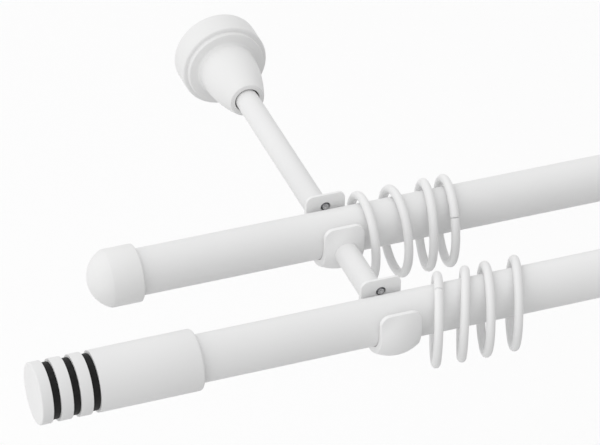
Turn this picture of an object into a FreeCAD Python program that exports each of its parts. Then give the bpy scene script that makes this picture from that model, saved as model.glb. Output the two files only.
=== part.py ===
# Double curtain rod: two 25 mm rods one behind the other on two wall brackets,
# with end finials, end caps and curtain rings.
#
# Frame: the origin is the centre of the left bracket's wall face, on the arm's axis.
# +X runs along the rods to the right, +Y points into the wall, +Z is up.
# The wall is the plane Y = 0, and the room is at negative Y. Millimetres.
import FreeCAD, Part
import math
import os

os.makedirs("parts", exist_ok=True)

V = FreeCAD.Vector
X_AXIS = V(1, 0, 0)
Y_AXIS = V(0, 1, 0)
Z_AXIS = V(0, 0, 1)

# Rods
ROD_DIAMETER = 25.0
ROD_WALL = 1.0
ROD_LENGTH = 1200.0
ROD_RISE = 1.0              # rod axes above the arm's axis
REAR_ROD_REACH = 186.0      # wall to rear rod axis
ROD_SPACING = 79.0          # rear rod axis to front rod axis
BRACKET_SPACING = 950.0

# Bracket arm and its joints
ARM_DIAMETER = 13.0
STUD_DIAMETER = 6.0
STUD_LENGTH = 13.0
STUD_IN_ARM = 7.0
TAPPED_CLEARANCE = 0.05     # between a thread and its tapped hole, on the radius
TAPPED_SPARE = 0.6          # blind hole left beyond a stud's end

# Wall plate, hidden under the rosette
PLATE_DIAMETER = 38.0
PLATE_THICKNESS = 3.0
PLATE_BOSS_LENGTH = 6.0
PLATE_HOLE_DIAMETER = 4.5
PLATE_HOLE_CIRCLE = 28.0
PLATE_HOLES = 3

# Rosette
ROSETTE_DIAMETER = 50.0
ROSETTE_RIM = 15.5
ROSETTE_LENGTH = 52.5
ROSETTE_BEAD_DIAMETER = 45.0
ROSETTE_BEAD_TOP = 18.2
ROSETTE_NECK_DIAMETER = 33.0
ROSETTE_MOUTH_DIAMETER = 20.0
ROSETTE_BORE = 14.4
ROSETTE_SHELL = 3.0

# Rod holder: an open-topped saddle with an outward crown. Its tab, on the wall side,
# stands higher than its lip, on the room side, and both thin towards their tops.
HOLDER_WIDTH = 22.0
HOLDER_CLEARANCE = 0.3      # round the rod
HOLDER_EDGE_WALL = 3.5      # wall thickness at the two sides
HOLDER_CROWN = 3.0          # extra thickness half way along the width
TAB_TOP = 15.5              # above the rod's axis
TAB_TOP_WALL = 1.5
TAB_CORNER = 4.0
LIP_TOP = 12.7              # above the rod's axis
LIP_TOP_WALL = 2.1
LIP_CORNER = 5.0
HOLDER_SOFT_EDGE = 0.8
ARM_SEAT_WALL = 4.2         # left between the rod's room and the arm's end

# Rod clamp screw, above the arm
CLAMP_DIAMETER = 5.0
CLAMP_LENGTH = 4.0
CLAMP_HEIGHT = 7.8          # above the rod's axis
CLAMP_BACKED_OFF = 0.3      # tip to the side of a rod that is lifted past it
CLAMP_SOCKET_ACROSS = 2.5
CLAMP_SOCKET_DEPTH = 2.5

# Small grub screws
GRUB_DIAMETER = 4.0
GRUB_SOCKET_ACROSS = 2.0
GRUB_SOCKET_DEPTH = 1.6
GRUB_CLEARANCE = 0.3        # tip to the tube or arm that it locks

# Front finial
FINIAL_DIAMETER = 32.0
FINIAL_LENGTH = 85.4
FINIAL_MOUTH = -105.6       # X of the finial's open end
FINIAL_END_DISC = 6.0
FINIAL_GROOVE = 4.1
FINIAL_LAND = 6.25
FINIAL_GROOVES = 3
FINIAL_GROOVE_FLOOR = 26.4
BAND_DIAMETER = 29.2
FINIAL_GRUB_FROM_MOUTH = 9.0

# Rear end cap
CAP_DIAMETER = 31.0
CAP_MOUTH = -110.5          # X of the cap's open end
CAP_SKIRT = 16.1
CAP_DOME = 10.4

SOCKET_CLEARANCE = 0.05     # rod in finial or cap, on the radius
SOCKET_SPARE = 0.5          # rod end to the socket's floor

# Curtain rings: place along the rod from the bracket, turn about the vertical,
# and lean of the top towards the bracket, both in degrees
RING_WIRE = 4.8
RING_MEAN_DIAMETER = 45.6
RING_CLEARANCE = 0.3        # between the rod's top and the ring
REAR_RINGS = [(16.9, -4.2, -0.5), (35.4, -3.7, -1.5), (53.0, -11.8, 1.8), (65.0, -10.2, 0.2)]
FRONT_RINGS = [(26.3, -20.5, -2.7), (41.3, -22.3, -1.2), (53.9, -16.9, 0.7), (70.1, -18.4, 1.2)]

# Derived places
ROD_R = ROD_DIAMETER / 2
ARM_R = ARM_DIAMETER / 2
STUD_R = STUD_DIAMETER / 2
CLAMP_R = CLAMP_DIAMETER / 2
GRUB_R = GRUB_DIAMETER / 2
REAR_Y = -REAR_ROD_REACH
FRONT_Y = REAR_Y - ROD_SPACING
MIDDLE_X = BRACKET_SPACING / 2
ROD_END_X = MIDDLE_X - ROD_LENGTH / 2
SADDLE_R = ROD_R + HOLDER_CLEARANCE
SADDLE_EDGE_R = SADDLE_R + HOLDER_EDGE_WALL
SADDLE_CROWN_R = SADDLE_EDGE_R + HOLDER_CROWN
ARM_START = PLATE_THICKNESS + PLATE_BOSS_LENGTH
ARM_END_R = SADDLE_R + ARM_SEAT_WALL
FINIAL_PITCH = FINIAL_GROOVE + FINIAL_LAND
FINIAL_TIP = FINIAL_MOUTH - FINIAL_LENGTH


def save(shape, name):
    """Write one sub-part to its own STEP file."""
    shape.exportStep("parts/" + name + ".step")


def rod_axis(y):
    """Point on a rod's axis at the left bracket."""
    return V(0, y, ROD_RISE)


def cylinder_y(radius, y_from, y_to, x=0.0, z=0.0):
    """Cylinder along Y between two stations, in either order."""
    low = min(y_from, y_to)
    return Part.makeCylinder(radius, abs(y_to - y_from), V(x, low, z), Y_AXIS)


def hexagon_prism(across, length, base, direction):
    """Hexagonal prism, the shape that a hex key leaves in a screw."""
    corner = across / math.sqrt(3)
    points = []
    for i in range(7):
        angle = math.radians(60 * i)
        points.append(V(corner * math.cos(angle), corner * math.sin(angle), 0))
    prism = Part.Face(Part.makePolygon(points)).extrude(V(0, 0, length))
    prism.Placement = FreeCAD.Placement(base, FreeCAD.Rotation(Z_AXIS, direction))
    return prism


def grub_screw(radius, length, head, direction, socket_across, socket_depth):
    """Headless screw from its socket end, with a chamfer at both ends."""
    chamfer = 0.15 * radius
    body = Part.makeCylinder(radius, length, head, direction)
    rims = [e for e in body.Edges if e.Closed]
    body = body.makeChamfer(chamfer, rims)
    start = head - direction * 0.1
    return body.cut(hexagon_prism(socket_across, socket_depth + 0.1, start, direction))


def revolve_y(points_or_edges):
    """Solid of revolution about Y from a closed chain of edges in the XY plane."""
    face = Part.Face(Part.Wire(points_or_edges))
    return face.revolve(V(0, 0, 0), Y_AXIS, 360)


def line(a, b):
    return Part.LineSegment(a, b).toShape()


def arc(a, b, c):
    return Part.Arc(a, b, c).toShape()


# Rods and what closes their ends

def rod_tube(y):
    start = V(ROD_END_X, y, ROD_RISE)
    outer = Part.makeCylinder(ROD_R, ROD_LENGTH, start, X_AXIS)
    inner = Part.makeCylinder(ROD_R - ROD_WALL, ROD_LENGTH, start, X_AXIS)
    return outer.cut(inner)


def rod_socket(mouth_x, y):
    """Blind bore that takes a rod's end."""
    start = V(ROD_END_X - SOCKET_SPARE, y, ROD_RISE)
    length = mouth_x - start.x
    return Part.makeCylinder(ROD_R + SOCKET_CLEARANCE, length, start, X_AXIS)


def groove_start(index):
    """X of the outer side of one finial groove, counted from the tip."""
    return FINIAL_TIP + FINIAL_END_DISC + index * FINIAL_PITCH


def finial_grub_x():
    return FINIAL_MOUTH - FINIAL_GRUB_FROM_MOUTH


def finial_body():
    radius = FINIAL_DIAMETER / 2
    body = Part.makeCylinder(radius, FINIAL_LENGTH, V(FINIAL_TIP, FRONT_Y, ROD_RISE), X_AXIS)
    rims = [e for e in body.Edges if e.Closed]
    body = body.makeFillet(0.8, rims)
    for i in range(FINIAL_GROOVES):
        start = V(groove_start(i), FRONT_Y, ROD_RISE)
        ring = Part.makeCylinder(radius + 1, FINIAL_GROOVE, start, X_AXIS)
        ring = ring.cut(Part.makeCylinder(FINIAL_GROOVE_FLOOR / 2, FINIAL_GROOVE, start, X_AXIS))
        body = body.cut(ring)
    body = body.cut(rod_socket(FINIAL_MOUTH, FRONT_Y))
    tapped = cylinder_y(GRUB_R + TAPPED_CLEARANCE, FRONT_Y, FRONT_Y + radius + 1,
                        finial_grub_x(), ROD_RISE)
    return body.cut(tapped)


def finial_band(index):
    """Black rubber band in one groove of the finial."""
    start = V(groove_start(index), FRONT_Y, ROD_RISE)
    band = Part.makeCylinder(BAND_DIAMETER / 2, FINIAL_GROOVE, start, X_AXIS)
    return band.cut(Part.makeCylinder(FINIAL_GROOVE_FLOOR / 2, FINIAL_GROOVE, start, X_AXIS))


def finial_grub_screw():
    """Screw in the finial's wall side that locks it on the rod."""
    head_y = FRONT_Y + FINIAL_DIAMETER / 2 - 0.6
    length = head_y - FRONT_Y - ROD_R - GRUB_CLEARANCE
    head = V(finial_grub_x(), head_y, ROD_RISE)
    return grub_screw(GRUB_R, length, head, -Y_AXIS, GRUB_SOCKET_ACROSS, GRUB_SOCKET_DEPTH)


def end_cap():
    """Push-on cap with a domed end, on the rear rod."""
    radius = CAP_DIAMETER / 2
    rim = 0.6
    edge_x = CAP_MOUTH - CAP_SKIRT
    tip_x = edge_x - CAP_DOME
    dome_r = (radius ** 2 + CAP_DOME ** 2) / (2 * CAP_DOME)
    half_angle = math.asin(radius / dome_r) / 2
    dome_middle = V(tip_x + dome_r * (1 - math.cos(half_angle)), dome_r * math.sin(half_angle), 0)
    turn = rim * (1 - math.sqrt(0.5))
    outline = Part.Wire([
        line(V(tip_x, 0, 0), V(CAP_MOUTH, 0, 0)),
        line(V(CAP_MOUTH, 0, 0), V(CAP_MOUTH, radius - rim, 0)),
        arc(V(CAP_MOUTH, radius - rim, 0), V(CAP_MOUTH - turn, radius - turn, 0),
            V(CAP_MOUTH - rim, radius, 0)),
        line(V(CAP_MOUTH - rim, radius, 0), V(edge_x, radius, 0)),
        arc(V(edge_x, radius, 0), dome_middle, V(tip_x, 0, 0)),
    ])
    cap = Part.Face(outline).revolve(V(0, 0, 0), X_AXIS, 360)
    cap.translate(rod_axis(REAR_Y))
    return cap.cut(rod_socket(CAP_MOUTH, REAR_Y))


def curtain_ring(y, place, turn, lean):
    """Ring hanging on a rod, turned about the vertical and leaning a little along the rod."""
    mean_r = RING_MEAN_DIAMETER / 2
    wire_r = RING_WIRE / 2
    drop = mean_r - wire_r - ROD_R - RING_CLEARANCE
    turn = math.radians(turn)
    lean = math.radians(lean)
    normal = V(math.cos(turn) * math.cos(lean), math.sin(turn) * math.cos(lean), math.sin(lean))
    return Part.makeTorus(mean_r, wire_r, V(place, y, ROD_RISE - drop), normal)


# Bracket

def wall_plate():
    """Steel disc with a tapped boss for the arm and three screw holes."""
    plate = cylinder_y(PLATE_DIAMETER / 2, 0, -PLATE_THICKNESS)
    plate = plate.fuse(cylinder_y(ARM_R, -PLATE_THICKNESS / 2, -ARM_START))
    plate = plate.removeSplitter()
    blind = STUD_LENGTH - STUD_IN_ARM + TAPPED_SPARE
    plate = plate.cut(cylinder_y(STUD_R + TAPPED_CLEARANCE, -ARM_START, -ARM_START + blind))
    for i in range(PLATE_HOLES):
        angle = math.radians(90 + 360 / PLATE_HOLES * i)
        x = PLATE_HOLE_CIRCLE / 2 * math.cos(angle)
        z = PLATE_HOLE_CIRCLE / 2 * math.sin(angle)
        plate = plate.cut(cylinder_y(PLATE_HOLE_DIAMETER / 2, 0, -PLATE_THICKNESS, x, z))
    return plate


def arm_bar(y_from, y_to):
    """Solid round bar with a blind tapped hole in each end."""
    bar = cylinder_y(ARM_R, y_from, y_to)
    hole = STUD_IN_ARM + TAPPED_SPARE
    bar = bar.cut(cylinder_y(STUD_R + TAPPED_CLEARANCE, y_from, y_from - hole))
    return bar.cut(cylinder_y(STUD_R + TAPPED_CLEARANCE, y_to, y_to + hole))


def wall_arm():
    return arm_bar(-ARM_START, REAR_Y + ARM_END_R)


def extension_arm():
    return arm_bar(REAR_Y - ARM_END_R, FRONT_Y + ARM_END_R)


def stud_places():
    """Y of each arm end, with the direction from there into the arm."""
    return [
        (-ARM_START, -1),
        (REAR_Y + ARM_END_R, 1),
        (REAR_Y - ARM_END_R, -1),
        (FRONT_Y + ARM_END_R, 1),
    ]


def joining_studs():
    """Threaded studs that join plate, arms and holders."""
    studs = []
    for end_y, into_arm in stud_places():
        inner = end_y + into_arm * STUD_IN_ARM
        length = STUD_LENGTH
        if end_y != -ARM_START:
            length = STUD_IN_ARM + ARM_SEAT_WALL - 0.4
        outer = inner - into_arm * length
        studs.append(cylinder_y(STUD_R, inner, outer))
    return Part.makeCompound(studs)


def round_point(radius, angle):
    """Point at an angle above the horizontal, in the plane across the rod."""
    return radius * math.cos(angle), radius * math.sin(angle)


def tangent_point(y, z, radius):
    """Where the line from a point above the rod touches the circle round the rod's axis."""
    angle = math.atan2(z, y) - math.acos(radius / math.hypot(y, z))
    return round_point(radius, angle)


def holder_section(x):
    """Outside of the holder across the rod: round below, thinning up to the tab and the lip."""
    share = 2 * x / HOLDER_WIDTH
    radius = SADDLE_EDGE_R + HOLDER_CROWN * (1 - share ** 2)
    tab_y = SADDLE_R + TAB_TOP_WALL
    lip_y = SADDLE_R + LIP_TOP_WALL
    tab_low = tangent_point(tab_y, TAB_TOP, radius)
    lip_low = tangent_point(lip_y, LIP_TOP, radius)
    outline = [
        V(x, tab_low[0], tab_low[1]),
        V(x, tab_y, TAB_TOP),
        V(x, tab_y, TAB_TOP + 1),
        V(x, 0, TAB_TOP + 1),
        V(x, 0, LIP_TOP + 1),
        V(x, -lip_y, LIP_TOP + 1),
        V(x, -lip_y, LIP_TOP),
        V(x, -lip_low[0], lip_low[1]),
    ]
    edges = [line(a, b) for a, b in zip(outline, outline[1:])]
    edges.append(arc(outline[-1], V(x, 0, -radius), outline[0]))
    return Part.Wire(edges)


def rounded_block(top, corner, y_from, y_to):
    """Block as wide as the holder, with its two upper corners rounded."""
    depth = 2 * SADDLE_CROWN_R
    block = Part.makeBox(HOLDER_WIDTH, y_to - y_from, depth + top, V(-HOLDER_WIDTH / 2, y_from, -depth))
    upper = []
    for edge in block.Edges:
        box = edge.BoundBox
        if box.YLength > SADDLE_CROWN_R and box.ZMin > 0:
            upper.append(edge)
    return block.makeFillet(corner, upper)


def holder_outline():
    """Trims the width, and the tops and corners of tab and lip."""
    reach = 2 * SADDLE_CROWN_R
    tab_side = rounded_block(TAB_TOP, TAB_CORNER, 0, reach)
    return tab_side.fuse(rounded_block(LIP_TOP, LIP_CORNER, -reach, 0))


def rod_channel():
    """Room for the rod, open at the top."""
    width = HOLDER_WIDTH + 4
    start = V(-width / 2, 0, 0)
    round_part = Part.makeCylinder(SADDLE_R, width, start, X_AXIS)
    slot = Part.makeBox(width, 2 * SADDLE_R, 2 * TAB_TOP, V(-width / 2, -SADDLE_R, 0))
    return round_part.fuse(slot).removeSplitter()


def outer_side_edges(body):
    """Edges where the outside meets the two end faces."""
    found = []
    for edge in body.Edges:
        box = edge.BoundBox
        outside = max(abs(box.YMin), abs(box.YMax)) > SADDLE_EDGE_R - 0.01
        at_side = box.XLength < 0.01 and abs(abs(box.XMin) - HOLDER_WIDTH / 2) < 0.01
        if at_side and outside:
            found.append(edge)
    return found


def holder(y, arm_sides):
    """Open saddle for a rod. arm_sides lists the sides that take an arm."""
    reach = HOLDER_WIDTH / 2 + 0.5
    sections = [holder_section(reach * k / 3) for k in range(-3, 4)]
    body = Part.makeLoft(sections, True, False)
    body = body.common(holder_outline()).cut(rod_channel())
    body = body.makeFillet(HOLDER_SOFT_EDGE, outer_side_edges(body))
    body.translate(rod_axis(y))
    for side in arm_sides:
        face_y = y + side * ARM_END_R
        body = body.cut(cylinder_y(ARM_R, face_y, y + side * (SADDLE_CROWN_R + 1)))
        body = body.cut(cylinder_y(STUD_R + TAPPED_CLEARANCE, y + side * ROD_R * 0.9, face_y))
    clamp_z = ROD_RISE + CLAMP_HEIGHT
    tapped = cylinder_y(CLAMP_R + TAPPED_CLEARANCE, y, y + SADDLE_CROWN_R + 1, 0, clamp_z)
    return body.cut(tapped)


def clamp_screw(y):
    """Screw through the holder's tab that presses on the rod's upper back."""
    tip_y = y + ROD_R + CLAMP_BACKED_OFF
    head = V(0, tip_y + CLAMP_LENGTH, ROD_RISE + CLAMP_HEIGHT)
    return grub_screw(CLAMP_R, CLAMP_LENGTH, head, -Y_AXIS, CLAMP_SOCKET_ACROSS, CLAMP_SOCKET_DEPTH)


def at(radius, distance):
    """Point of a turned outline: distance from the wall along the arm."""
    return V(radius, -distance, 0)


def rosette_outside():
    """Turned outline: thick rim, small bead, then a neck that tapers to the mouth."""
    rim_r = ROSETTE_DIAMETER / 2
    bead_r = ROSETTE_BEAD_DIAMETER / 2
    mouth_r = ROSETTE_MOUTH_DIAMETER / 2
    rim_edge = 1.2
    bead_edge = 0.9
    turn = 1 - math.sqrt(0.5)
    neck_r = ROSETTE_NECK_DIAMETER / 2
    foot = ROSETTE_BEAD_TOP
    cove = [(neck_r + 1.5, foot), (neck_r + 0.35, foot + 0.5), (neck_r - 0.1, foot + 1.8)]
    neck = [cove[2], (14.2, 38.5), (mouth_r, ROSETTE_LENGTH)]
    return revolve_y([
        line(at(0, 0), at(rim_r - 0.5, 0)),
        line(at(rim_r - 0.5, 0), at(rim_r, 0.5)),
        line(at(rim_r, 0.5), at(rim_r, ROSETTE_RIM - rim_edge)),
        arc(at(rim_r, ROSETTE_RIM - rim_edge),
            at(rim_r - rim_edge * turn, ROSETTE_RIM - rim_edge * turn),
            at(rim_r - rim_edge, ROSETTE_RIM)),
        line(at(rim_r - rim_edge, ROSETTE_RIM), at(bead_r, ROSETTE_RIM)),
        line(at(bead_r, ROSETTE_RIM), at(bead_r, ROSETTE_BEAD_TOP - bead_edge)),
        arc(at(bead_r, ROSETTE_BEAD_TOP - bead_edge),
            at(bead_r - bead_edge * turn, ROSETTE_BEAD_TOP - bead_edge * turn),
            at(bead_r - bead_edge, ROSETTE_BEAD_TOP)),
        line(at(bead_r - bead_edge, ROSETTE_BEAD_TOP), at(*cove[0])),
        arc(at(*cove[0]), at(*cove[1]), at(*cove[2])),
        arc(at(*neck[0]), at(*neck[1]), at(*neck[2])),
        line(at(*neck[2]), at(0, ROSETTE_LENGTH)),
        line(at(0, ROSETTE_LENGTH), at(0, 0)),
    ])


def rosette_inside():
    """Room for the wall plate and its screws, narrowing to the arm's bore."""
    room_r = ROSETTE_DIAMETER / 2 - ROSETTE_SHELL
    bore_r = ROSETTE_BORE / 2
    room_end = ROSETTE_RIM - ROSETTE_SHELL
    points = [
        at(0, 0),
        at(room_r, 0),
        at(room_r, room_end),
        at(bore_r + 4.5, room_end + 4.5),
        at(bore_r, ROSETTE_LENGTH - 20),
        at(bore_r, ROSETTE_LENGTH),
        at(0, ROSETTE_LENGTH),
        at(0, 0),
    ]
    return revolve_y(Part.makePolygon(points).Edges)


def rosette_grub_place():
    """Underside of the neck: the screw's distance from the wall and its head radius."""
    return ROSETTE_LENGTH - 7.0, 11.4


def rosette():
    from_wall, head_r = rosette_grub_place()
    shell = rosette_outside().cut(rosette_inside())
    start = V(0, -from_wall, -head_r - 3)
    return shell.cut(Part.makeCylinder(GRUB_R + TAPPED_CLEARANCE, head_r + 3, start, Z_AXIS))


def rosette_grub_screw():
    """Screw in the neck that keeps the rosette against the wall."""
    from_wall, head_r = rosette_grub_place()
    length = head_r - ARM_R - GRUB_CLEARANCE
    head = V(0, -from_wall, -head_r)
    return grub_screw(GRUB_R, length, head, Z_AXIS, GRUB_SOCKET_ACROSS, GRUB_SOCKET_DEPTH)


# Assembly: every sub-part of the left end is repeated, mirrored, at the right end

def left_parts():
    parts = {
        "wall_plate": wall_plate(),
        "wall_arm": wall_arm(),
        "extension_arm": extension_arm(),
        "joining_studs": joining_studs(),
        "rear_holder": holder(REAR_Y, [1, -1]),
        "front_holder": holder(FRONT_Y, [1]),
        "rear_clamp_screw": clamp_screw(REAR_Y),
        "front_clamp_screw": clamp_screw(FRONT_Y),
        "rosette": rosette(),
        "rosette_grub_screw": rosette_grub_screw(),
        "finial_body": finial_body(),
        "finial_grub_screw": finial_grub_screw(),
        "rear_end_cap": end_cap(),
    }
    for i in range(FINIAL_GROOVES):
        parts["finial_band_%d" % (i + 1)] = finial_band(i)
    for i, pose in enumerate(REAR_RINGS):
        parts["rear_ring_%d" % (i + 1)] = curtain_ring(REAR_Y, *pose)
    for i, pose in enumerate(FRONT_RINGS):
        parts["front_ring_%d" % (i + 1)] = curtain_ring(FRONT_Y, *pose)
    return parts


def main():
    save(rod_tube(REAR_Y), "rear_rod_tube")
    save(rod_tube(FRONT_Y), "front_rod_tube")
    for name, shape in left_parts().items():
        save(shape, "left_" + name)
        save(shape.mirror(V(MIDDLE_X, 0, 0), X_AXIS), "right_" + name)


main()
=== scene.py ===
"""Looks of the double curtain rod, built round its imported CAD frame.

Metres, +X along the rods, the wall at Y = 0.
"""
import math

import bmesh
import bpy
import numpy as np
from mathutils import Matrix, Vector

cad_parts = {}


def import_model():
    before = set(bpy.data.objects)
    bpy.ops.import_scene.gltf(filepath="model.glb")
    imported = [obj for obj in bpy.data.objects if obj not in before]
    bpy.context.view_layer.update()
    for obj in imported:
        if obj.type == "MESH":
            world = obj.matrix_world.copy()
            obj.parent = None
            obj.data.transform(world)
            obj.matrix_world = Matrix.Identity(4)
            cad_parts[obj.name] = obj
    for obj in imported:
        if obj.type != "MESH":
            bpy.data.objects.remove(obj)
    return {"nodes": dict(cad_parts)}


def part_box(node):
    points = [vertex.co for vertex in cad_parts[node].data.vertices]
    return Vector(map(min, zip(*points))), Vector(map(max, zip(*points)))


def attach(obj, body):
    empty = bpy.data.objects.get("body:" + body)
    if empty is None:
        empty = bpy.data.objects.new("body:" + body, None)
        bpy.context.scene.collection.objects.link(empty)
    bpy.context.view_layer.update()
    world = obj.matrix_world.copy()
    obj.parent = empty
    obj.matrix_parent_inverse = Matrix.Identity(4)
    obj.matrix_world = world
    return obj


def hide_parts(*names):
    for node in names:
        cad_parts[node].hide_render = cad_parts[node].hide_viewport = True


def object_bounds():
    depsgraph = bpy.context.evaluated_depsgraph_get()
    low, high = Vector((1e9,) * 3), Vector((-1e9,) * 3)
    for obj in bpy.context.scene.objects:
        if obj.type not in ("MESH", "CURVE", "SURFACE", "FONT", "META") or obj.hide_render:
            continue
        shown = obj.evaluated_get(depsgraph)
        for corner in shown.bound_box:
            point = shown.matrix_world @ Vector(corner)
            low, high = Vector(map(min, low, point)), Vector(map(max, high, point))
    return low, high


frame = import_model()
cad_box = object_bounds()

MM = 0.001
SIDES = {"left": -1, "right": 1}    # direction from the bracket to that end of the rods
RODS = ("rear", "front")

# Smoothness of turned and swept pieces
TURNED_STEPS = 144
SMALL_STEPS = 48
ARC_STEPS = 6
SHARP_ANGLE = math.radians(34)

# Sizes that the frame's boxes don't give
ROD_WALL = 1.0 * MM
ROD_PLAY = 0.05 * MM
ROD_EDGE = 0.25 * MM
# Where the bore's outline starts and ends, both from the rod's left mouth
ROD_BORE_START = 2 * MM
ROD_BORE_END = 3 * MM
FINIAL_GROOVE_FLOOR = 13.2 * MM
FINIAL_MOUTH_ROUND = 1.3 * MM
FINIAL_TIP_ROUND = 0.7 * MM
FINIAL_GROOVE_ROUND = 0.25 * MM
SOCKET_DEPTH_SPARE = 0.5 * MM
CAP_SKIRT = 16.1 * MM
CAP_MOUTH_ROUND = 0.9 * MM
CAP_DOME_STEPS = 28
RING_WIRE_RADIUS = 2.4 * MM
SEAM_GAP = 0.3 * MM
SEAM_CHAMFER = 0.3 * MM
SEAM_CHAMFER_MIDDLE = 0.3   # of the chamfer's length
SEAM_END_SHARE = 0.86       # of the wire's radius, at its end
SEAM_MIDDLE_SHARE = 0.95    # and part way up the chamfer
RING_STATIONS = 150
WIRE_STEPS = 28
STUD_HOLE = 3.05 * MM
STUD_HOLE_DEPTH = 7.6 * MM

# Holder: an open saddle whose wall is thicker half way along its width and below
SADDLE_RADIUS = 12.8 * MM
HOLDER_EDGE_WALL = 3.5 * MM
HOLDER_CROWN = 3.0 * MM
TAB_TOP_WALL = 1.5 * MM
TAB_CORNER = 4.0 * MM
LIP_TOP = 12.7 * MM
LIP_TOP_WALL = 2.1 * MM
LIP_CORNER = 5.0 * MM
ARM_SEAT_WALL = 4.2 * MM
HOLDER_BEVEL = 0.7 * MM
HOLDER_ACROSS = 28
HOLDER_ROUND = 48
HOLDER_UPRIGHT = 14
HOLDER_CORNER_STEPS = 8
CLAMP_HOLE_MOUTH = 2.9 * MM
ARM_PLAY = 0.04 * MM
SCREW_PLAY = 0.08 * MM
SOCKET_CUT = 9 * MM
CLAMP_PAINTED_LIGHT_SHARE = 0.71   # of the screw's radius: painted highlight on the steel inside, painted shade on the threads outside

# Wall plate: a disc with three countersunk holes
PLATE_THICKNESS = 3 * MM
PLATE_HOLE_CIRCLE = 14
PLATE_HOLES = 3
PLATE_HOLE_RADIUS = 2.25 * MM
PLATE_SINK_RADIUS = 3.3 * MM

# Rosette: turned outline from the wall, as (distance from the wall, radius, corner radius) in
# millimetres
ROSETTE_OUTSIDE = [
    (0.0, 24.6, 0.0), (0.0, 25.0, 0.4), (15.5, 25.0, 1.2), (15.5, 22.5, 0.25),
    (18.2, 22.5, 0.9), (18.2, 18.0, 0.0),
]
ROSETTE_COVE = [(18.2, 18.0), (18.7, 16.85), (20.0, 16.4)]
ROSETTE_NECK = [(20.0, 16.4), (38.5, 14.2), (52.0, 10.15)]
ROSETTE_MOUTH = [
    (52.5, 9.9, 0.4), (52.5, 7.2, 0.4), (32.5, 7.2, 0.0), (17.0, 11.7, 0.5),
    (12.5, 22.0, 1.0), (0.0, 22.0, 0.0),
]

# Seams: where each ring's wire ends meet, as degrees round the ring from its top
RING_SEAMS = {
    "rear": (146, 268, 272, 51),
    "front": (12, 150, 266, 135),
}


# Geometry helpers

def centre(node):
    low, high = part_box(node)
    return (Vector(low) + Vector(high)) / 2


def size(node):
    low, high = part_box(node)
    return Vector(high) - Vector(low)


def rod_axis(rod, x=0.0):
    """Point on a rod's axis at one X."""
    middle = centre(rod + "_rod_tube")
    return Vector((x, middle.y, middle.z))


def rounded(points, steps=ARC_STEPS):
    """Outline with the corners given as (a, b, corner radius) turned into arcs."""
    flat = [Vector((p[0], p[1])) for p in points]
    out = []
    for i, point in enumerate(points):
        radius = point[2] if len(point) > 2 else 0.0
        if radius <= 0 or i in (0, len(points) - 1):
            out.append(tuple(flat[i]))
            continue
        back = (flat[i - 1] - flat[i]).normalized()
        ahead = (flat[i + 1] - flat[i]).normalized()
        half = back.angle(ahead) / 2
        start = flat[i] + back * (radius / math.tan(half))
        end = flat[i] + ahead * (radius / math.tan(half))
        hub = flat[i] + (back + ahead).normalized() * (radius / math.sin(half))
        for k in range(steps + 1):
            spoke = (start - hub).slerp(end - hub, k / steps)
            out.append(tuple(hub + spoke.normalized() * radius))
    return out


def arc_through(a, b, c, steps=14):
    """Points on the arc through three points, ends included."""
    (ax, ay), (bx, by), (cx, cy) = a, b, c
    d = 2 * (ax * (by - cy) + bx * (cy - ay) + cx * (ay - by))
    aa, bb, cc = ax * ax + ay * ay, bx * bx + by * by, cx * cx + cy * cy
    hub = Vector(((aa * (by - cy) + bb * (cy - ay) + cc * (ay - by)) / d,
                  (aa * (cx - bx) + bb * (ax - cx) + cc * (bx - ax)) / d))
    start = Vector(a) - hub
    end = Vector(c) - hub
    radius = start.length
    return [tuple(hub + start.slerp(end, k / steps).normalized() * radius)
            for k in range(steps + 1)]


def scaled(points):
    """Outline given in millimetres, in metres."""
    return [tuple(value * MM for value in point) for point in points]


def axes_for(direction):
    """Two unit vectors across a direction, the first as level as it can be."""
    direction = direction.normalized()
    helper = Vector((0, 0, 1)) if abs(direction.z) < 0.9 else Vector((0, 1, 0))
    across = direction.cross(helper).normalized()
    return across, across.cross(direction).normalized()


def object_from(bm, name):
    """Object with smooth faces, split where two faces meet at a real edge."""
    bmesh.ops.remove_doubles(bm, verts=bm.verts, dist=1e-7)
    bmesh.ops.recalc_face_normals(bm, faces=bm.faces)
    mark_sharp(bm)
    mesh = bpy.data.meshes.new(name)
    bm.to_mesh(mesh)
    bm.free()
    piece = bpy.data.objects.new(name, mesh)
    bpy.context.scene.collection.objects.link(piece)
    return piece


def mark_sharp(bm):
    for face in bm.faces:
        face.smooth = True
    for edge in bm.edges:
        edge.smooth = len(edge.link_faces) == 2 and edge.calc_face_angle(0) < SHARP_ANGLE


def skin(bm, rings, closed_loop=False):
    """Faces between neighbouring rings of vertices. A ring of one vertex is a pole."""
    pairs = list(zip(rings, rings[1:]))
    if closed_loop:
        pairs.append((rings[-1], rings[0]))
    for low, high in pairs:
        count = max(len(low), len(high))
        if count == 1:
            continue
        for i in range(count):
            j = (i + 1) % count
            corners = [low[i % len(low)], low[j % len(low)],
                       high[j % len(high)], high[i % len(high)]]
            unique = list(dict.fromkeys(corners))
            if len(unique) > 2:
                bm.faces.new(unique)


def turned(name, outline, origin, direction, steps=TURNED_STEPS, loop=False):
    """Turned piece: outline of (distance along the axis, radius).

    loop joins its last point to its first.
    """
    direction = direction.normalized()
    across, up = axes_for(direction)
    bm = bmesh.new()
    rings = []
    for along, radius in outline:
        hub = origin + direction * along
        if radius < 1e-7:
            rings.append([bm.verts.new(hub)])
            continue
        ring = []
        for i in range(steps):
            angle = 2 * math.pi * i / steps
            spoke = across * math.cos(angle) + up * math.sin(angle)
            ring.append(bm.verts.new(hub + spoke * radius))
        rings.append(ring)
    skin(bm, rings, loop)
    return object_from(bm, name)


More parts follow.
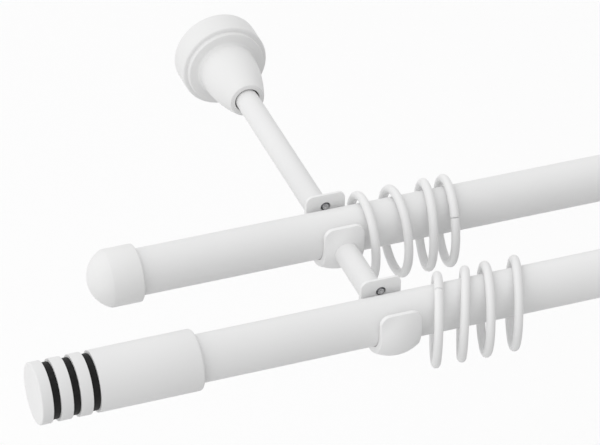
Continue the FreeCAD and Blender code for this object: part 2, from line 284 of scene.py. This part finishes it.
def apply_modifiers(piece):
    """Turns the piece's modifiers into its mesh."""
    graph = bpy.context.evaluated_depsgraph_get()
    mesh = bpy.data.meshes.new_from_object(piece.evaluated_get(graph))
    old = piece.data
    piece.modifiers.clear()
    piece.data = mesh
    bpy.data.meshes.remove(old)
    bm = bmesh.new()
    bm.from_mesh(mesh)
    mark_sharp(bm)
    bm.to_mesh(mesh)
    bm.free()


def cut(piece, cutters):
    """Cuts closed shapes out of a piece and removes the shapes."""
    for cutter in cutters:
        modifier = piece.modifiers.new("cut", "BOOLEAN")
        modifier.operation = "DIFFERENCE"
        modifier.solver = "EXACT"
        modifier.object = cutter
        apply_modifiers(piece)
        bpy.data.objects.remove(cutter)


# Materials

def shader(name):
    """New material, its node tree and its main shader."""
    material = bpy.data.materials.new(name)
    material.use_nodes = True
    return material, material.node_tree, material.node_tree.nodes["Principled BSDF"]


def noise(tree, scale, detail=3.0, roughness=0.5):
    """Noise over the object's own coordinates, at a scale per metre."""
    place = tree.nodes.new("ShaderNodeTexCoord")
    texture = tree.nodes.new("ShaderNodeTexNoise")
    texture.inputs["Scale"].default_value = scale
    texture.inputs["Detail"].default_value = detail
    texture.inputs["Roughness"].default_value = roughness
    tree.links.new(place.outputs["Object"], texture.inputs["Vector"])
    return texture.outputs["Fac"]


def ramp(tree, value, stops):
    """Colour ramp from (position, grey or colour) stops."""
    node = tree.nodes.new("ShaderNodeValToRGB")
    while len(node.color_ramp.elements) < len(stops):
        node.color_ramp.elements.new(0.5)
    for element, (position, colour) in zip(node.color_ramp.elements, stops):
        element.position = position
        element.color = (*colour, 1) if isinstance(colour, tuple) else (colour, colour, colour, 1)
    tree.links.new(value, node.inputs["Fac"])
    return node.outputs["Color"]


def bump(tree, surface, height, distance, strength=1.0):
    node = tree.nodes.new("ShaderNodeBump")
    node.inputs["Distance"].default_value = distance
    node.inputs["Strength"].default_value = strength
    tree.links.new(height, node.inputs["Height"])
    tree.links.new(node.outputs["Normal"], surface.inputs["Normal"])


def powder_coat(name, low, high):
    """White powder coat on metal: satin, with a fine orange peel and a faint drift of tone."""
    material, tree, surface = shader(name)
    tone = ramp(tree, noise(tree, 9.0, 2.0), [(0.35, low), (0.65, high)])
    tree.links.new(tone, surface.inputs["Base Color"])
    gloss = ramp(tree, noise(tree, 160.0, 3.0), [(0.3, 0.40), (0.7, 0.48)])
    tree.links.new(gloss, surface.inputs["Roughness"])
    surface.inputs["Specular IOR Level"].default_value = 0.42
    bump(tree, surface, noise(tree, 780.0, 2.0, 0.45), 0.03 * MM, 0.35)
    return material


def moulded_plastic(name, low, high, rough):
    """White moulded plastic: smooth, with faint flow marks."""
    material, tree, surface = shader(name)
    tone = ramp(tree, noise(tree, 14.0, 2.0), [(0.35, low), (0.65, high)])
    tree.links.new(tone, surface.inputs["Base Color"])
    gloss = ramp(tree, noise(tree, 240.0, 2.0), [(0.3, rough - 0.03), (0.7, rough + 0.05)])
    tree.links.new(gloss, surface.inputs["Roughness"])
    surface.inputs["Specular IOR Level"].default_value = 0.45
    bump(tree, surface, noise(tree, 1500.0, 2.0, 0.4), 0.012 * MM, 0.3)
    return material


def black_rubber():
    """Black rubber bands: matt, with a fine grain and a little dust."""
    material, tree, surface = shader("black_rubber_look")
    tone = ramp(tree, noise(tree, 420.0, 5.0, 0.6), [(0.35, 0.006), (0.75, 0.016)])
    tree.links.new(tone, surface.inputs["Base Color"])
    gloss = ramp(tree, noise(tree, 900.0, 3.0), [(0.3, 0.5), (0.7, 0.68)])
    tree.links.new(gloss, surface.inputs["Roughness"])
    surface.inputs["Specular IOR Level"].default_value = 0.18
    bump(tree, surface, noise(tree, 2600.0, 3.0), 0.03 * MM, 0.6)
    return material


def zinc_plate():
    """Zinc-plated steel: cool grey metal with cloudy patches."""
    material, tree, surface = shader("zinc_plate_look")
    tone = ramp(tree, noise(tree, 700.0, 4.0, 0.6),
                [(0.3, (0.42, 0.43, 0.45)), (0.7, (0.66, 0.67, 0.69))])
    tree.links.new(tone, surface.inputs["Base Color"])
    gloss = ramp(tree, noise(tree, 1300.0, 3.0), [(0.3, 0.24), (0.7, 0.42)])
    tree.links.new(gloss, surface.inputs["Roughness"])
    surface.inputs["Metallic"].default_value = 1.0
    bump(tree, surface, noise(tree, 3000.0, 2.0), 0.01 * MM, 0.5)
    return material


def bare_steel(name, low, high):
    """Bare steel of a clamp screw, with a fine speckle."""
    material, tree, surface = shader(name)
    tone = ramp(tree, noise(tree, 3200.0, 4.0, 0.65), [(0.38, low), (0.58, high)])
    tree.links.new(tone, surface.inputs["Base Color"])
    gloss = ramp(tree, noise(tree, 2100.0, 3.0), [(0.3, 0.24), (0.7, 0.42)])
    tree.links.new(gloss, surface.inputs["Roughness"])
    surface.inputs["Metallic"].default_value = 1.0
    bump(tree, surface, noise(tree, 2600.0, 2.0), 0.02 * MM, 0.6)
    return material


WHITE_METAL = powder_coat("white_powder_coat_look", (0.765, 0.765, 0.765), (0.80, 0.80, 0.80))
# A lighter copy of the white powder coat for the holders: painted light that makes up for the shade
# falling between the rods and the holders' tabs and lips.
PAINTED_LIGHT_CASTING = powder_coat("painted_light_casting_look", (0.81, 0.81, 0.81), (0.84, 0.84, 0.84))
WHITE_PLASTIC = moulded_plastic("white_plastic_look", (0.77, 0.77, 0.768), (0.80, 0.80, 0.798),
                                0.42)
RING_PLASTIC = moulded_plastic("ring_plastic_look", (0.78, 0.78, 0.78), (0.81, 0.81, 0.81), 0.40)
RUBBER = black_rubber()
ZINC = zinc_plate()
# Lit and shaded copies of one bare steel for the clamp screws. The bright one is a painted
# highlight on the cup point, and the dark one is painted shade on the threads, standing for the
# shadow in the recess round the screw.
PAINTED_LIGHT_CUP_POINT = bare_steel("painted_light_cup_point_look", (0.58, 0.58, 0.59), (0.93, 0.93, 0.94))
PAINTED_SHADE_THREAD = bare_steel("painted_shade_thread_look", (0.10, 0.10, 0.11), (0.22, 0.22, 0.23))
LOOKS = {
    "white_metal": WHITE_METAL,
    "white_plastic": WHITE_PLASTIC,
    "ring_plastic": RING_PLASTIC,
    "black_rubber": RUBBER,
    "zinc_steel": ZINC,
}


def stand_for(piece, node, body, slot, look=None):
    """Gives a fine piece its look and body, and lets it stand for its CAD node."""
    piece.data.materials.clear()
    piece.data.materials.append(look or LOOKS[slot])
    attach(piece, body)
    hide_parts(node)


# Rods, finials and caps

def rod(name):
    node = name + "_rod_tube"
    length = size(node).x
    outer = size(node).z / 2
    inner = outer - ROD_WALL
    outline = rounded([
        (ROD_BORE_START, inner, 0), (0, inner, ROD_EDGE), (0, outer, ROD_EDGE),
        (length, outer, ROD_EDGE), (length, inner, ROD_EDGE), (ROD_BORE_END, inner, 0),
    ])
    start = rod_axis(name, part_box(node)[0][0])
    piece = turned(node + "_fine", outline, start, Vector((1, 0, 0)), loop=True)
    stand_for(piece, node, name + "_rod", "white_metal")


def rod_end_x(rod_name, side):
    low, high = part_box(rod_name + "_rod_tube")
    return low[0] if SIDES[side] < 0 else high[0]


def mouth_and_depth(node, rod_name, side):
    """Open end of a finial or cap on the rod's axis, and how deep its socket is."""
    low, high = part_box(node)
    mouth_x = high[0] if SIDES[side] < 0 else low[0]
    depth = abs(rod_end_x(rod_name, side) - mouth_x) + SOCKET_DEPTH_SPARE
    return rod_axis(rod_name, mouth_x), depth


def finial(side):
    node = side + "_finial_body"
    mouth, depth = mouth_and_depth(node, "front", side)
    outward = Vector((SIDES[side], 0, 0))
    length = size(node).x
    radius = size(node).z / 2
    bore = size("front_rod_tube").z / 2 + ROD_PLAY
    grooves = []
    for i in (1, 2, 3):
        low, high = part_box("%s_finial_band_%d" % (side, i))
        grooves.append(sorted(abs(x - mouth.x) for x in (low[0], high[0])))
    grooves.sort()
    points = [(depth, 0), (depth, bore, 0.4 * MM), (0, bore, 0.4 * MM),
              (0, radius, FINIAL_MOUTH_ROUND)]
    for near, far in grooves:
        points += [(near, radius, FINIAL_GROOVE_ROUND), (near, FINIAL_GROOVE_FLOOR, 0.2 * MM),
                   (far, FINIAL_GROOVE_FLOOR, 0.2 * MM), (far, radius, FINIAL_GROOVE_ROUND)]
    points += [(length, radius, FINIAL_TIP_ROUND), (length, 0)]
    piece = turned(node + "_fine", rounded(points), mouth, outward)
    stand_for(piece, node, side + "_finial", "white_metal")
    for i in (1, 2, 3):
        band(side, i, mouth, outward)


def band(side, number, mouth, outward):
    node = "%s_finial_band_%d" % (side, number)
    low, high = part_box(node)
    near, far = sorted(abs(x - mouth.x) for x in (low[0], high[0]))
    radius = size(node).z / 2
    floor_radius = FINIAL_GROOVE_FLOOR
    outline = rounded([
        (near + 0.4 * MM, floor_radius), (near, floor_radius, 0.1 * MM),
        (near, radius, 0.5 * MM), (far, radius, 0.5 * MM), (far, floor_radius, 0.1 * MM),
        (near + 0.8 * MM, floor_radius),
    ])
    piece = turned(node + "_fine", outline, mouth, outward, loop=True)
    stand_for(piece, node, side + "_finial", "black_rubber")


def end_cap(side):
    node = side + "_rear_end_cap"
    mouth, depth = mouth_and_depth(node, "rear", side)
    outward = Vector((SIDES[side], 0, 0))
    length = size(node).x
    radius = size(node).z / 2
    bore = size("rear_rod_tube").z / 2 + ROD_PLAY
    dome = length - CAP_SKIRT
    dome_radius = (radius ** 2 + dome ** 2) / (2 * dome)
    points = rounded([
        (depth, 0), (depth, bore, 0.5 * MM), (0, bore, 0.4 * MM),
        (0, radius, CAP_MOUTH_ROUND), (CAP_SKIRT, radius),
    ])
    full = math.asin(radius / dome_radius)
    for k in range(1, CAP_DOME_STEPS + 1):
        angle = full * (1 - k / CAP_DOME_STEPS)
        points.append((length - dome_radius * (1 - math.cos(angle)), dome_radius * math.sin(angle)))
    piece = turned(node + "_fine", points, mouth, outward)
    stand_for(piece, node, side + "_end_cap", "white_plastic")


# Curtain rings

def ring_normal(node):
    """Axis of a ring: the direction in which its points spread the least."""
    points = np.array([v.co[:] for v in frame["nodes"][node].data.vertices])
    spread = np.linalg.svd(points - points.mean(axis=0), full_matrices=False)[2]
    return Vector(spread[2])


def curtain_ring(side, rod_name, number):
    """Round wire bent to a ring, with a fine butt seam where its ends meet."""
    node = "%s_%s_ring_%d" % (side, rod_name, number)
    hub = centre(node)
    normal = ring_normal(node)
    reach = max((v.co - hub).length for v in frame["nodes"][node].data.vertices)
    mean = reach - RING_WIRE_RADIUS
    level = normal.cross(Vector((0, 0, 1))).normalized()
    if level.y > 0:
        level = -level
    up = Vector((0, 0, 1))
    seam = math.radians(RING_SEAMS[rod_name][number - 1])
    gap = SEAM_GAP / mean
    chamfer = SEAM_CHAMFER / mean
    stations = [
        (gap / 2, SEAM_END_SHARE),
        (gap / 2 + chamfer * SEAM_CHAMFER_MIDDLE, SEAM_MIDDLE_SHARE),
        (gap / 2 + chamfer, 1.0),
    ]
    span = 2 * math.pi - gap - 2 * chamfer
    stations += [(gap / 2 + chamfer + span * k / RING_STATIONS, 1.0)
                 for k in range(1, RING_STATIONS + 1)]
    stations += [
        (2 * math.pi - gap / 2 - chamfer * SEAM_CHAMFER_MIDDLE, SEAM_MIDDLE_SHARE),
        (2 * math.pi - gap / 2, SEAM_END_SHARE),
    ]
    bm = bmesh.new()
    rings = []
    for turn, share in stations:
        angle = seam + turn
        outward = up * math.cos(angle) + level * math.sin(angle)
        loop = []
        for i in range(WIRE_STEPS):
            a = 2 * math.pi * i / WIRE_STEPS
            offset = outward * math.cos(a) + normal * math.sin(a)
            loop.append(bm.verts.new(hub + outward * mean + offset * RING_WIRE_RADIUS * share))
        rings.append(loop)
    skin(bm, rings)
    bm.faces.new(rings[0])
    bm.faces.new(rings[-1])
    piece = object_from(bm, node + "_fine")
    stand_for(piece, node, node, "ring_plastic")


# Brackets

def upright(top, corner):
    """Heights from a top down to the rod's axis, closer together round the corner."""
    heights = [top * (1 - k / HOLDER_UPRIGHT) for k in range(HOLDER_UPRIGHT + 1)]
    heights += [top - corner * (1 - math.cos(math.pi / 2 * k / HOLDER_CORNER_STEPS))
                for k in range(HOLDER_CORNER_STEPS + 1)]
    return sorted(set(round(h, 7) for h in heights), reverse=True)


def outer_reach(x, height, half_width, top, top_wall):
    """Distance from the rod's axis to the outside: round below, then straight to the thin top."""
    radius = SADDLE_RADIUS + HOLDER_EDGE_WALL + HOLDER_CROWN * (1 - (x / half_width) ** 2)
    tip = Vector((SADDLE_RADIUS + top_wall, top))
    angle = math.atan2(tip.y, tip.x) - math.acos(min(1.0, radius / tip.length))
    touch = Vector((radius * math.cos(angle), radius * math.sin(angle)))
    if height <= touch.y:
        return math.sqrt(radius ** 2 - height ** 2)
    return touch.x + (tip.x - touch.x) * (height - touch.y) / (tip.y - touch.y)


def holder_loop(bm, axis, half_width, station, side, top, corner, top_wall):
    """Ring of vertices through the wall at one height or at one turn below the axis.

    side is +1 on the wall's side and -1 on the room's.
    """
    kind, value = station
    height = value if kind == "height" else 0.0
    width = half_width
    drop = height - (top - corner)
    if drop > 0:
        width -= corner - math.sqrt(max(corner ** 2 - drop ** 2, 0))
    outside = []
    inside = []
    for k in range(HOLDER_ACROSS + 1):
        x = width * (2 * k / HOLDER_ACROSS - 1)
        reach = outer_reach(x, height, half_width, top, top_wall)
        if kind == "height":
            outside.append(Vector((x, side * reach, height)))
            inside.append(Vector((x, side * SADDLE_RADIUS, height)))
        else:
            spoke = Vector((0, math.cos(value), -math.sin(value)))
            outside.append(Vector((x, 0, 0)) + spoke * reach)
            inside.append(Vector((x, 0, 0)) + spoke * SADDLE_RADIUS)
    return [bm.verts.new(axis + point) for point in outside + inside[::-1]]


def holder(side, rod_name):
    """Open saddle, its tab on the wall side and its lip on the room side."""
    node = "%s_%s_holder" % (side, rod_name)
    axis = rod_axis(rod_name, centre(node).x)
    half_width = size(node).x / 2
    tab = (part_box(node)[1][2] - axis.z, TAB_CORNER, TAB_TOP_WALL)
    lip = (LIP_TOP, LIP_CORNER, LIP_TOP_WALL)
    bm = bmesh.new()
    loops = [holder_loop(bm, axis, half_width, ("height", h), 1, *tab)
             for h in upright(tab[0], tab[1])]
    for k in range(1, HOLDER_ROUND):
        station = ("turn", math.pi * k / HOLDER_ROUND)
        loops.append(holder_loop(bm, axis, half_width, station, 1, *tab))
    loops += [holder_loop(bm, axis, half_width, ("height", h), -1, *lip)
              for h in upright(lip[0], lip[1])[::-1]]
    skin(bm, loops)
    for loop in (loops[0], loops[-1]):
        for k in range(HOLDER_ACROSS):
            bm.faces.new([loop[k], loop[k + 1], loop[-2 - k], loop[-1 - k]])
    piece = object_from(bm, node + "_fine")
    edges = piece.modifiers.new("edges", "BEVEL")
    edges.width = HOLDER_BEVEL
    edges.segments = 4
    edges.limit_method = "ANGLE"
    edges.angle_limit = math.radians(38)
    edges.use_clamp_overlap = True
    apply_modifiers(piece)
    cut(piece, holder_cutters(side, rod_name, axis))
    # The holder gets the lighter copy of the powder coat, as painted light against the shade
    # between the rod and its tab and lip.
    stand_for(piece, node, "brackets", "white_metal", PAINTED_LIGHT_CASTING)


def holder_cutters(side, rod_name, axis):
    """Sockets for the arms and the hole for the clamp screw, wider at its mouth."""
    cutters = []
    to_wall = Vector((0, 1, 0))
    socket = SADDLE_RADIUS + ARM_SEAT_WALL
    arm = centre(side + "_wall_arm")
    arm_radius = size(side + "_wall_arm").z / 2
    directions = [to_wall, -to_wall] if rod_name == "rear" else [to_wall]
    for direction in directions:
        start = Vector((arm.x, axis.y, arm.z)) + direction * socket
        bore = arm_radius + ARM_PLAY
        outline = [(0, 0), (0, bore), (SOCKET_CUT, bore), (SOCKET_CUT, 0)]
        cutters.append(turned("cutter", outline, start, direction, 96))
    screw = "%s_%s_clamp_screw" % (side, rod_name)
    screw_radius = size(screw).z / 2 + SCREW_PLAY
    start = Vector((axis.x, axis.y, centre(screw).z)) + to_wall * (SADDLE_RADIUS - 1.5 * MM)
    outline = [
        (0, 0), (0, CLAMP_HOLE_MOUTH + 0.6 * MM), (1.5 * MM, CLAMP_HOLE_MOUTH),
        (2.0 * MM, screw_radius), (12 * MM, screw_radius), (12 * MM, 0),
    ]
    cutters.append(turned("cutter", outline, start, to_wall, 64))
    return cutters


def arm(side, name):
    """Round bar with a chamfered, tapped end."""
    node = side + "_" + name
    radius = size(node).z / 2
    length = size(node).y
    chamfer = 0.4 * MM
    points = [
        (STUD_HOLE_DEPTH, 0), (STUD_HOLE_DEPTH, STUD_HOLE), (0, STUD_HOLE),
        (0, radius, chamfer), (length, radius, chamfer), (length, STUD_HOLE),
        (length - STUD_HOLE_DEPTH, STUD_HOLE), (length - STUD_HOLE_DEPTH, 0),
    ]
    middle = centre(node)
    start = Vector((middle.x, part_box(node)[1][1], middle.z))
    piece = turned(node + "_fine", rounded(points), start, Vector((0, -1, 0)))
    stand_for(piece, node, "brackets", "white_metal")


def rosette(side):
    node = side + "_rosette"
    middle = centre(node)
    start = Vector((middle.x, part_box(node)[1][1], middle.z))
    outline = rounded(scaled(ROSETTE_OUTSIDE))
    outline += arc_through(*scaled(ROSETTE_COVE))[1:]
    outline += arc_through(*scaled(ROSETTE_NECK))[1:]
    outline += rounded(scaled([ROSETTE_NECK[-1] + (0.0,)] + ROSETTE_MOUTH))[1:]
    piece = turned(node + "_fine", outline, start, Vector((0, -1, 0)), loop=True)
    grub = side + "_rosette_grub_screw"
    hole = Vector((centre(grub).x, centre(grub).y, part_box(grub)[1][2] + 3 * MM))
    radius = size(grub).x / 2 + SCREW_PLAY
    outline = [(0, 0), (0, radius), (14 * MM, radius), (14 * MM, 0)]
    cut(piece, [turned("cutter", outline, hole, Vector((0, 0, -1)), 64)])
    stand_for(piece, node, side + "_rosette", "white_plastic")


def wall_plate(side):
    """Steel disc with a turned boss and three countersunk holes."""
    node = side + "_wall_plate"
    middle = centre(node)
    start = Vector((middle.x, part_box(node)[1][1], middle.z))
    room = Vector((0, -1, 0))
    radius = size(node).x / 2
    boss = size(side + "_wall_arm").z / 2
    length = size(node).y
    outline = rounded([
        (0, 0), (0, radius, 0.3 * MM), (PLATE_THICKNESS, radius, 0.5 * MM),
        (PLATE_THICKNESS, boss, 0.8 * MM), (length, boss, 0.4 * MM), (length, STUD_HOLE, 0),
        (2.4 * MM, STUD_HOLE, 0), (2.4 * MM, 0),
    ])
    piece = turned(node + "_fine", outline, start, room)
    cutters = []
    for k in range(PLATE_HOLES):
        angle = math.radians(90 + 120 * k)
        spoke = Vector((math.cos(angle), 0, math.sin(angle)))
        place = start + spoke * PLATE_HOLE_CIRCLE * MM - room * MM
        hole = [
            (0, 0), (0, PLATE_HOLE_RADIUS), (3.2 * MM, PLATE_HOLE_RADIUS),
            (4.2 * MM, PLATE_SINK_RADIUS), (5 * MM, PLATE_SINK_RADIUS), (5 * MM, 0),
        ]
        cutters.append(turned("cutter", hole, place, room, 48))
    cut(piece, cutters)
    stand_for(piece, node, "brackets", "zinc_steel")


# Screws

THREAD_DEPTH_SHARE = 0.54    # of the pitch
THREAD_SLICES = 12           # per turn
CUP_RIM_SHARE = 0.7          # of the screw's radius
CUP_LIP_SHARE = 0.72         # of the rim's radius
CUP_FLOOR_SHARE = 0.3


def grub_screw(node, body, head, direction, radius, length, pitch, socket, depth, look=None):
    """Headless screw with a real thread, a hex socket in its head and a cup point."""
    across, up = axes_for(direction)
    direction = direction.normalized()
    thread_depth = THREAD_DEPTH_SHARE * pitch
    tip = radius * CUP_RIM_SHARE
    bm = bmesh.new()

    def ring_at(along, radius_at):
        hub = head + direction * along
        loop = []
        for i in range(SMALL_STEPS):
            angle = 2 * math.pi * i / SMALL_STEPS
            spoke = across * math.cos(angle) + up * math.sin(angle)
            loop.append(bm.verts.new(hub + spoke * radius_at(angle)))
        return loop

    def hexagon(angle):
        within = (angle % (math.pi / 3)) - math.pi / 6
        return socket / 2 / math.cos(within)

    def thread(along):
        envelope = min(radius, radius - 0.3 * MM + along, tip + (length - along) * 1.2)

        def at(angle):
            phase = (along / pitch - angle / (2 * math.pi)) % 1.0
            wave = abs(2 * phase - 1)
            return min(envelope, radius - thread_depth * min(1, max(0, wave * 1.5 - 0.25)))
        return at

    rings = [[bm.verts.new(head + direction * depth)], ring_at(depth, hexagon), ring_at(0, hexagon)]
    count = max(8, int(length / pitch * THREAD_SLICES))
    for k in range(count + 1):
        rings.append(ring_at(length * k / count, thread(length * k / count)))
    rings.append(ring_at(length, lambda angle: tip * CUP_LIP_SHARE))
    rings.append(ring_at(length - 0.45 * MM, lambda angle: tip * CUP_FLOOR_SHARE))
    rings.append([bm.verts.new(head + direction * (length - 0.5 * MM))])
    skin(bm, rings)
    piece = object_from(bm, node + "_fine")
    stand_for(piece, node, body, "zinc_steel", look)
    return piece


def clamp_screw(side, rod_name):
    node = "%s_%s_clamp_screw" % (side, rod_name)
    middle = centre(node)
    head = Vector((middle.x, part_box(node)[1][1], middle.z))
    radius = size(node).x / 2
    piece = grub_screw(node, node, head, Vector((0, -1, 0)), radius, size(node).y,
                       0.8 * MM, 2.5 * MM, 2.5 * MM, PAINTED_LIGHT_CUP_POINT)
    # The threads get the dark copy of the steel as painted shade for the recess round the screw.
    # The cup point inside keeps the bright copy as a painted highlight.
    piece.data.materials.append(PAINTED_SHADE_THREAD)
    for face in piece.data.polygons:
        spoke = face.center - middle
        spoke.y = 0
        if spoke.length > CLAMP_PAINTED_LIGHT_SHARE * radius:
            face.material_index = 1


def finial_grub_screw(side):
    node = side + "_finial_grub_screw"
    middle = centre(node)
    head = Vector((middle.x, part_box(node)[1][1], middle.z))
    grub_screw(node, side + "_finial", head, Vector((0, -1, 0)), size(node).x / 2, size(node).y,
               0.7 * MM, 2.0 * MM, 1.2 * MM)


def rosette_grub_screw(side):
    node = side + "_rosette_grub_screw"
    middle = centre(node)
    head = Vector((middle.x, middle.y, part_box(node)[0][2]))
    grub_screw(node, side + "_rosette", head, Vector((0, 0, 1)), size(node).x / 2, size(node).z,
               0.7 * MM, 2.0 * MM, 1.6 * MM)


def studs(side):
    """The hidden joining studs keep their CAD shape and get a metal look."""
    node = frame["nodes"][side + "_joining_studs"]
    node.data.materials.clear()
    node.data.materials.append(ZINC)


# Studio

FLOOR_DROP = 0.6
FLOOR_HALF = 60.0
VIEW_AZIMUTH = math.radians(21.84)
VIEW_ELEVATION = math.radians(35.90)
VIEW_ROLL = math.radians(1.79)
VIEW_DISTANCE = 1.823
VIEW_LENS = 206.3
VIEW_RIGHT = -0.0180    # aim, measured from the rear rod at the left bracket
VIEW_UP = 0.0051
SKY_BRIGHT_SIDE = (-0.27, 0.076, 0.30)
SKY_BRIGHT = 1.21
SKY_DIM = 0.38
# Lights: places and aim from the rear rod at the left bracket, in metres, and power in watts
KEY_PLACE = (-1.6, 0.5, 2.4)
KEY_WIDTH = 1.2
KEY_POWER = 3
FILL_PLACE = (-0.95, -0.55, -0.15)
FILL_AIM = (-0.15, -0.08, 0)
FILL_WIDTH = 0.7
FILL_POWER = 1.1


def camera():
    toward = Vector((math.sin(VIEW_AZIMUTH) * math.cos(VIEW_ELEVATION),
                     math.cos(VIEW_AZIMUTH) * math.cos(VIEW_ELEVATION), -math.sin(VIEW_ELEVATION)))
    level = Vector((math.cos(VIEW_AZIMUTH), -math.sin(VIEW_AZIMUTH), 0))
    above = level.cross(toward)
    right = level * math.cos(VIEW_ROLL) + above * math.sin(VIEW_ROLL)
    up = above * math.cos(VIEW_ROLL) - level * math.sin(VIEW_ROLL)
    aim = rod_axis("rear", centre("left_rear_holder").x) + right * VIEW_RIGHT + up * VIEW_UP
    data = bpy.data.cameras.new("camera")
    data.lens = VIEW_LENS
    data.sensor_width = 36
    data.sensor_fit = "HORIZONTAL"
    data.clip_end = 200
    eye = bpy.data.objects.new("camera", data)
    bpy.context.scene.collection.objects.link(eye)
    turn = Matrix((right, up, -toward)).transposed().to_4x4()
    eye.matrix_world = Matrix.Translation(aim - toward * VIEW_DISTANCE) @ turn
    bpy.context.scene.camera = eye


def area_light(name, place, aim, width, power):
    data = bpy.data.lights.new(name, "AREA")
    data.shape = "DISK"
    data.size = width
    data.energy = power
    light = bpy.data.objects.new(name, data)
    light.location = place
    light.rotation_euler = (Vector(aim) - Vector(place)).to_track_quat("-Z", "Y").to_euler()
    bpy.context.scene.collection.objects.link(light)


def world():
    """Soft white surroundings: brightest above and to the left, dimmest below and to the right."""
    sky = bpy.data.worlds.new("studio")
    sky.use_nodes = True
    tree = sky.node_tree
    background = tree.nodes["Background"]
    background.inputs["Color"].default_value = (1, 1, 1, 1)
    place = tree.nodes.new("ShaderNodeTexCoord")
    facing = tree.nodes.new("ShaderNodeVectorMath")
    facing.operation = "DOT_PRODUCT"
    facing.inputs[1].default_value = Vector(SKY_BRIGHT_SIDE).normalized()
    tree.links.new(place.outputs["Generated"], facing.inputs[0])
    level = tree.nodes.new("ShaderNodeMapRange")
    level.inputs["From Min"].default_value = -1.0
    level.inputs["From Max"].default_value = 1.0
    level.inputs["To Min"].default_value = SKY_DIM
    level.inputs["To Max"].default_value = SKY_BRIGHT
    tree.links.new(facing.outputs["Value"], level.inputs["Value"])
    tree.links.new(level.outputs["Result"], background.inputs["Strength"])
    bpy.context.scene.world = sky


def floor():
    """Plain pale floor. It throws no diffuse light back on the object."""
    bm = bmesh.new()
    level = cad_box[0][2] - FLOOR_DROP
    turns = ((-1, -1), (1, -1), (1, 1), (-1, 1))
    bm.faces.new([bm.verts.new((x * FLOOR_HALF, y * FLOOR_HALF, level)) for x, y in turns])
    mesh = bpy.data.meshes.new("floor")
    bm.to_mesh(mesh)
    bm.free()
    slab = bpy.data.objects.new("floor", mesh)
    bpy.context.scene.collection.objects.link(slab)
    material, _, surface = shader("floor_look")
    surface.inputs["Base Color"].default_value = (0.96, 0.96, 0.96, 1)
    surface.inputs["Roughness"].default_value = 0.9
    surface.inputs["Specular IOR Level"].default_value = 0.1
    mesh.materials.append(material)
    slab.visible_diffuse = False


def studio():
    camera()
    world()
    floor()
    middle = rod_axis("rear", centre("left_rear_holder").x)
    area_light("key", middle + Vector(KEY_PLACE), middle, KEY_WIDTH, KEY_POWER)
    area_light("left_fill", middle + Vector(FILL_PLACE), middle + Vector(FILL_AIM),
               FILL_WIDTH, FILL_POWER)
    bpy.context.scene.view_settings.view_transform = "Standard"
    bpy.context.scene.view_settings.look = "None"


def build():
    for name in RODS:
        rod(name)
    for side in SIDES:
        finial(side)
        end_cap(side)
        rosette(side)
        wall_plate(side)
        studs(side)
        arm(side, "wall_arm")
        arm(side, "extension_arm")
        finial_grub_screw(side)
        rosette_grub_screw(side)
        for name in RODS:
            holder(side, name)
            clamp_screw(side, name)
            for number in (1, 2, 3, 4):
                curtain_ring(side, name, number)


build()
studio()
